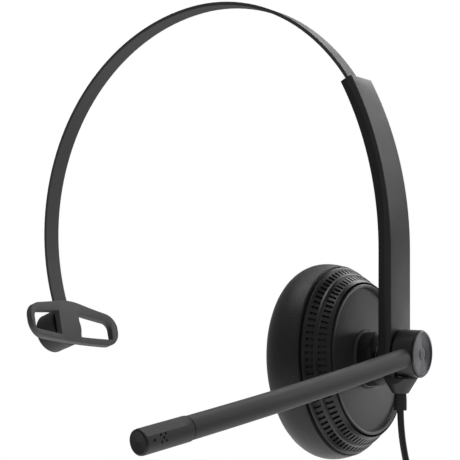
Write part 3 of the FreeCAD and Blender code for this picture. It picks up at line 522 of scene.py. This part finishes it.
# matte ABS, greyer than the arm, with no clear highlight
boom_plastic = moulded("matte_grey_abs", "#39393b", "#414143", 0.45, 0.012, 0.58, patch=18)
paint(nodes["boom_tube"], boom_plastic)
paint(nodes["mic_end_cap"], black_abs)
paint(nodes["mic_lead"], lead_jacket)
paint(nodes["mic_grommet"], boot_rubber)
paint(nodes["mic_capsule"], steel)

BOOM_ROOT = Vector((81.9, 0, 2.1))
BOOM_LENGTH = 130.6
BOOM_TURN = math.radians(9)
BOOM_DROP = -0.114
MIC_LENGTH = 17
MIC_RADIUS = 3.4


def boom_point(along):
    """A point on the boom's line, in millimetres from its root."""
    bend = BOOM_LENGTH / BOOM_TURN
    angle = along / bend
    return BOOM_ROOT + Vector((bend * (math.cos(angle) - 1), -bend * math.sin(angle),
                               BOOM_DROP * along))


mic_root = boom_point(BOOM_LENGTH - MIC_LENGTH)
mic_ahead = (boom_point(BOOM_LENGTH) - mic_root).normalized()
mic_side = mic_ahead.cross(Vector((0, 0, 1))).normalized()
mic_top = mic_side.cross(mic_ahead)
mic_place = (Matrix.Translation(mic_root * MM)
             @ Matrix((mic_ahead, mic_side, mic_top)).transposed().to_4x4())
FLAT_ANGLE = math.radians(-32)
FLAT_HEIGHT = 3.0
FIRST_CELL = 3.6
CELL = 0.8
outline = [(-1.5, 1.5), (-1.5, 2.15), (0.12, 2.15), (0.12, MIC_RADIUS - 0.3), (0.4, MIC_RADIUS),
           (1.0, MIC_RADIUS)]
outline += [(FIRST_CELL + CELL * index, MIC_RADIUS) for index in range(16)]
outline += [(MIC_LENGTH - 0.75, MIC_RADIUS), (MIC_LENGTH - 0.5, MIC_RADIUS - 0.15),
            (MIC_LENGTH - 0.5, MIC_RADIUS - 0.9), (3.2, MIC_RADIUS - 0.9), (3.2, 1.5)]
housing = spun(outline, 24)
sound_slots = []
ports = []
for face in housing.faces:
    centre = face.calc_center_median()
    angle = math.degrees(math.atan2(centre.y, centre.z))
    cell = int((centre.x / MM - FIRST_CELL) // CELL)
    sector = int((angle + 367.5) // 15) % 24
    if centre.yz.length < 3.1 * MM:
        continue
    if sector == 0 and cell in (7, 8, 12, 13):
        sound_slots.append(face)
    if (cell, sector) in ((8, 17), (8, 19), (9, 18), (10, 17), (10, 19), (13, 18)):
        ports.append(face)
for holes, rim in ((sound_slots, 0.14), (ports, 0.18)):
    bmesh.ops.inset_individual(housing, faces=holes, thickness=rim * MM, depth=-0.03 * MM)
    sunk = bmesh.ops.extrude_discrete_faces(housing, faces=holes)["faces"]
    for face in sunk:
        centre = face.calc_center_median()
        inwards = -Vector((0, centre.y, centre.z)).normalized() * 0.6 * MM
        bmesh.ops.translate(housing, verts=face.verts, vec=inwards)

# the long flat land beside the slots, where a thumb finds the microphone's front
land = Vector((0, math.sin(FLAT_ANGLE), math.cos(FLAT_ANGLE)))
for vertex in housing.verts:
    height = vertex.co.dot(land) / MM
    if 0.9 < vertex.co.x / MM < MIC_LENGTH - 0.6 and height > FLAT_HEIGHT:
        vertex.co -= land * (height - FLAT_HEIGHT) * MM
housing.transform(mic_place)
finished("mic_shell", housing, "boom", boom_plastic, ["mic_housing"], crisp=30)

# ---------------------------------------------------------------- ear cup: plate and knuckle
# The outer plate is a satin disc with a raised lip.  A black knuckle in its middle turns on the
# arm's ball.

ball_spot = Vector(joints["ear_tilt"]["pos_m"])
CUP_TILT = 5
cup_place = (Matrix.Translation((ball_spot.x - 1.7 * MM, 0, 0))
             @ Matrix.Rotation(math.radians(-CUP_TILT), 4, "Y"))
# satin ABS: a smoother grain than the arm's, which mirrors the light as a soft glow
plate_plastic = moulded("satin_grey_abs", "#2b2b2d", "#333335", 0.5, 0.02, 0.36, patch=20)
paint(nodes["cup_plate"], plate_plastic)
paint(nodes["knuckle"], black_abs)
paint(nodes["socket_retainer"], black_abs)
# acetal in its own milky colour, waxy and smooth
bush_acetal = moulded("natural_acetal", "#c9c6bb", "#d3d0c6", 0.8, 0.02, 0.35)
paint(nodes["ball_bush"], bush_acetal)

# a thin bright ring closes the gap between the knuckle and the plate
collar_ring = spun([(-0.85, 9.0), (-0.85, 9.9), (-0.35, 9.8), (0.1, 9.35), (0.1, 9.05)], 72)
collar_ring.transform(cup_place)
finished("knuckle_ring", collar_ring, "ear_cup", arm_plastic)

# ---------------------------------------------------------------- ear cup: vent ring
# A moulded ring with two rows of small slots, one behind the other, and a plain ridge between them.

SLOTS = 84
PLATE_RADIUS = 25.25
ring_shape = spun([
    (-1.0, PLATE_RADIUS), (-0.2, 25.75), (0, 25.95), (-0.15, 26.1), (-0.5, 26.35),
    (-1.05, 26.75), (-1.15, 26.65),
    (-1.35, 26.75), (-3.4, 28.15), (-3.5, 28.4), (-3.7, 28.8), (-4.05, 29.1), (-4.4, 29.25),
    (-4.7, 29.25), (-4.85, 29.15), (-6.75, 30.65), (-6.9, 30.95), (-7.1, 31.3), (-7.4, 31.5),
    (-7.6, 31.5), (-7.6, 29.7), (-6.3, 29.7), (-3.2, 25.8), (-3.2, 24.2), (-2.4, 24.2),
    (-2.4, PLATE_RADIUS),
], 2 * SLOTS)
slits = []
for face in ring_shape.faces:
    middle = face.calc_center_median()
    along = middle.x / MM
    sector = int(math.degrees(math.atan2(middle.z, middle.y)) % 360 // (180 / SLOTS))
    radius = middle.yz.length / MM
    in_a_row = (-3.3 < along < -1.4 and radius > 26.9
                or -6.7 < along < -4.9 and radius > 29.2)
    if in_a_row and sector % 2 == 0:
        slits.append(face)
bmesh.ops.inset_individual(ring_shape, faces=slits, thickness=0.12 * MM, depth=-0.1 * MM)
for face in bmesh.ops.extrude_discrete_faces(ring_shape, faces=slits)["faces"]:
    middle = face.calc_center_median()
    inwards = -Vector((0, middle.y, middle.z)).normalized() * 0.7 * MM
    bmesh.ops.translate(ring_shape, verts=face.verts, vec=inwards)
ring_shape.transform(cup_place)
# fine spark grain on black ABS: dark, with a narrow shine on its edges
ring_plastic = moulded("black_abs_fine_spark", "#161617", "#1d1d1f", 0.4, 0.02, 0.34)
finished("slotted_ring", ring_shape, "ear_cup", ring_plastic, ["vent_ring"],
         crisp=28)

# ---------------------------------------------------------------- ear cup: speaker
# The speaker sits behind the perforated baffle, under a stretched open knit.

paint(nodes["cup_baffle"], black_abs)
paint(nodes["cushion_ring"], black_abs)
# pressed and plated steel: dull grey metal
frame_metal = moulded("pressed_steel", "#7d7e80", "#8b8c8e", 1.2, 0.01, 0.35)
frame_metal.node_tree.nodes["Principled BSDF"].inputs["Metallic"].default_value = 1
for name in ("speaker_frame", "speaker_magnet"):
    paint(nodes[name], frame_metal)
# thin polyester film: amber and glossy
film = moulded("polyester_film", "#8a8470", "#968f7a", 3, 0.01, 0.2)
paint(nodes["speaker_cone"], film)

CLOTH_RADIUS = 15.9
# open polyester knit: dark yarn; its tone is painted shade in the holes between the stitches and a
# painted highlight on the stitches that stand up
knit, tree = new_finish("open_polyester_knit")
place = add(tree, "TexCoord").outputs["Object"]
# 24 stitches to the inch is 1.06 mm a stitch
stitches = add(tree, "TexVoronoi", {"Vector": place, "Scale": 1 / (1.06 * MM),
                                    "Randomness": 0.25})
# painted shade and highlight: the tone follows the stitch field that also drives the relief, dark
# where it sinks into the holes and lighter where the stitches stand up
tone = add(tree, "Mix", {"Factor": stitches.outputs["Distance"], 6: linear("#0c0c0d"),
                         7: linear("#2c2c2e")}, data_type="RGBA")
relief_bump = add(tree, "Bump", {"Height": stitches.outputs["Distance"], "Distance": 0.3 * MM})
shader = add(tree, "BsdfPrincipled", {"Base Color": tone.outputs[2], "Roughness": 0.85,
                                      "Normal": relief_bump.outputs["Normal"],
                                      "Sheen Weight": 0.25, "Sheen Roughness": 0.4})
add(tree, "OutputMaterial", {"Surface": shader.outputs["BSDF"]})
cloth = spun([(-13.25, CLOTH_RADIUS), (-13.45, 14.5), (-13.7, 11), (-13.85, 7), (-13.9, 3.5),
              (-13.95, 0)], 48, closed=False)
bmesh.ops.solidify(cloth, geom=cloth.faces[:], thickness=0.25 * MM)
bmesh.ops.recalc_face_normals(cloth, faces=cloth.faces)
cloth.transform(cup_place)
cloth = finished("speaker_knit", cloth, "ear_cup", knit, ["speaker_cloth"])

# ---------------------------------------------------------------- ear cup: cushion
# A foam ring in a leatherette skin.  The skin is stretched over its carrier behind, and a seam
# runs round the inside of the opening.

CUSHION_MIDDLE = (-16, 24.4)
CUSHION_BACK = -7.8
AROUND = 144
INSET = 0.15


def arc_points(start, end, radius, steps):
    """The points of an arc between two corners, its centre on the left of the way, end left out."""
    start, end = Vector(start), Vector(end)
    across = end - start
    left = Vector((-across.y, across.x)).normalized()
    centre = (start + end) / 2 + left * math.sqrt(radius ** 2 - (across.length / 2) ** 2)
    sweep = (start - centre).angle_signed(end - centre)
    return [centre + Matrix.Rotation(-sweep * step / steps, 2) @ (start - centre)
            for step in range(steps)]


corners = [((-8.9, 32.15), 16.1), ((-15.2, 33.4), 9.5), ((-24.5, 23.8), 7.8),
           ((-16.7, 16.0), 16.5), ((CUSHION_BACK, 18.6), None)]
section = [Vector(point) for point in ((CUSHION_BACK, 30.0), (-8.2, 30.5), (-8.6, 31.5))]
for (start, radius), (end, _) in zip(corners, corners[1:]):
    section += arc_points(start, end, radius, 10)
section.append(Vector(corners[-1][0]))
middle = Vector(CUSHION_MIDDLE)
section = [point + (middle - point).normalized() * INSET for point in section]
cushion = spun(section, AROUND)

# leatherette: a soft satin sheen broken by embossed grain
leather, tree = new_finish("black_leatherette")
place = add(tree, "TexCoord").outputs["Object"]
# embossed grain: cells about 0.9 mm across with fine creases between them
cells = add(tree, "TexVoronoi", {"Vector": place, "Scale": 1 / (0.9 * MM), "Randomness": 0.9},
            feature="DISTANCE_TO_EDGE")
creases = add(tree, "MapRange", {"Value": cells.outputs["Distance"], "From Max": 0.16})
pores = add(tree, "TexNoise", {"Vector": place, "Scale": 1 / (0.35 * MM), "Detail": 3})
cloud = add(tree, "TexNoise", {"Vector": place, "Scale": 1 / (12 * MM), "Detail": 3})
height = add(tree, "Math", {0: creases.outputs["Result"], 1: pores.outputs["Fac"]},
             operation="ADD")
relief_bump = add(tree, "Bump", {"Height": height.outputs["Value"], "Distance": 0.05 * MM,
                                 "Strength": 0.6})
tone = add(tree, "Mix", {"Factor": cloud.outputs["Fac"], 6: linear("#161617"),
                         7: linear("#202022")}, data_type="RGBA")
gloss = add(tree, "MapRange", {"Value": cloud.outputs["Fac"], "From Min": 0.3, "From Max": 0.7,
                               "To Min": 0.38, "To Max": 0.5})
shader = add(tree, "BsdfPrincipled", {
    "Base Color": tone.outputs[2], "Roughness": gloss.outputs["Result"], "IOR": 1.48,
    "Normal": relief_bump.outputs["Normal"], "Sheen Weight": 0.15, "Sheen Roughness": 0.35})
add(tree, "OutputMaterial", {"Surface": shader.outputs["BSDF"]})

cushion.transform(cup_place)
cushion = finished("leatherette_cushion", cushion, "ear_cup", leather,
                   ["ear_cushion"], crisp=60)
axis_out = cup_place.to_3x3() @ Vector((1, 0, 0))
back_plane = (cup_place @ Vector((CUSHION_BACK * MM, 0, 0))).dot(axis_out)
still = [vertex.co.copy() for vertex in cushion.data.vertices]
held = cushion.vertex_groups.new(name="held")
for vertex in cushion.data.vertices:
    distance = back_plane - vertex.co.dot(axis_out)
    held.add([vertex.index], 1.0 if distance < 0.9 * MM else 0.0, "REPLACE")
cloth_step = cushion.modifiers.new("cloth", "CLOTH")
cloth_step.settings.use_pressure = True
cloth_step.settings.uniform_pressure_force = 4
cloth_step.settings.effector_weights.gravity = 0
cloth_step.settings.vertex_group_mass = "held"
cloth_step.settings.shrink_min = -0.03
cloth_step.settings.bending_stiffness = 0.6
for frame_number in range(1, 21):
    scene.frame_set(frame_number)
settled = cushion.evaluated_get(bpy.context.evaluated_depsgraph_get()).to_mesh()
most = 0.3 * MM
for vertex, before, after in zip(cushion.data.vertices, still, settled.vertices):
    move = after.co - before
    if move.length > most:
        move = move.normalized() * most
    vertex.co = before + move
cushion.evaluated_get(bpy.context.evaluated_depsgraph_get()).to_mesh_clear()
cushion.modifiers.clear()
cushion.vertex_groups.clear()
scene.frame_set(1)

# the sewn seam: a shallow channel round the inside of the opening, its edges pulled in
SEAM_ANGLE = math.radians(235)
SEAM_WIDTH = 0.12
SEAM_DEPTH = 0.55
for vertex in cushion.data.vertices:
    local = cup_place.inverted() @ vertex.co / MM
    across = Vector((local.x, local.yz.length)) - middle
    angle = math.atan2(across.y, across.x) % (2 * math.pi)
    near = math.exp(-((angle - SEAM_ANGLE) / SEAM_WIDTH) ** 2)
    sunk = across.normalized() * SEAM_DEPTH * near
    outwards = Vector((0, local.y, local.z)).normalized()
    local = local - Vector((sunk.x, 0, 0)) - outwards * sunk.y
    vertex.co = cup_place @ (local * MM)

# a thin corded piping where the skin meets its carrier
piping = spun([(-9.1, 31.95), (-8.95, 32.25), (-8.7, 32.25), (-8.5, 32.0), (-8.5, 31.7),
               (-8.75, 31.55), (-9.0, 31.65)], AROUND)
piping.transform(cup_place)
finished("cushion_piping", piping, "ear_cup", leather)

bpy.context.view_layer.update()
